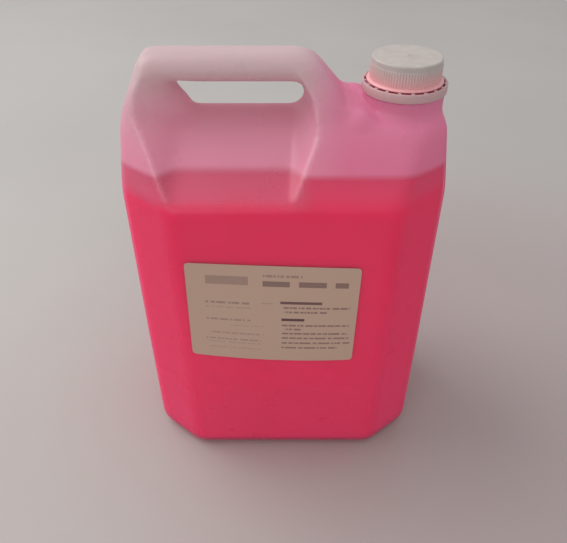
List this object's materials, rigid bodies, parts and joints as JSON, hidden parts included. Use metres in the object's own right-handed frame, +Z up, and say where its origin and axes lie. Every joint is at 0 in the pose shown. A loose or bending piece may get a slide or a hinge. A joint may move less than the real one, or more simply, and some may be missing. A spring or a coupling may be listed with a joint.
{
  "type": "hand soap refill pack",
  "caption": "Translucent blow-moulded jerrican of pink liquid soap with a moulded-in handle, screw cap, tamper ring and front label.",
  "frame": {"origin": "middle of the footprint, on the ground", "axes": "+Z up along the height, -Y towards the labelled front, +X towards the neck"},
  "size_m": [0.193, 0.1305, 0.279],
  "materials": {
    "natural_plastic": "translucent satin",
    "pink_soap": "smooth liquid",
    "white_plastic": "satin",
    "foam": "foamed, matte",
    "label_paper": "coated"
  },
  "bodies": {
    "root": {"jerrican_body": "natural_plastic", "liquid_soap": "pink_soap", "tamper_ring": "white_plastic", "front_label": "label_paper"},
    "liner": {"cap_liner": "foam"},
    "cap": {"screw_cap": "white_plastic"}
  },
  "joints": [
    {"name": "liner_lift", "type": "slide", "parent": "root", "child": "liner", "axis": [0, 0, 1], "range_m": [0, 0.0168]},
    {"name": "cap_turn", "type": "hinge", "parent": "liner", "child": "cap", "pos_m": [0.0712, 0, 0.2622], "axis": [0, 0, 1], "range_deg": [0, 1440]}
  ],
  "couplings": [
    {"joint": "liner_lift", "follows": "cap_turn", "m_per_rad": 0.000668}
  ]
}
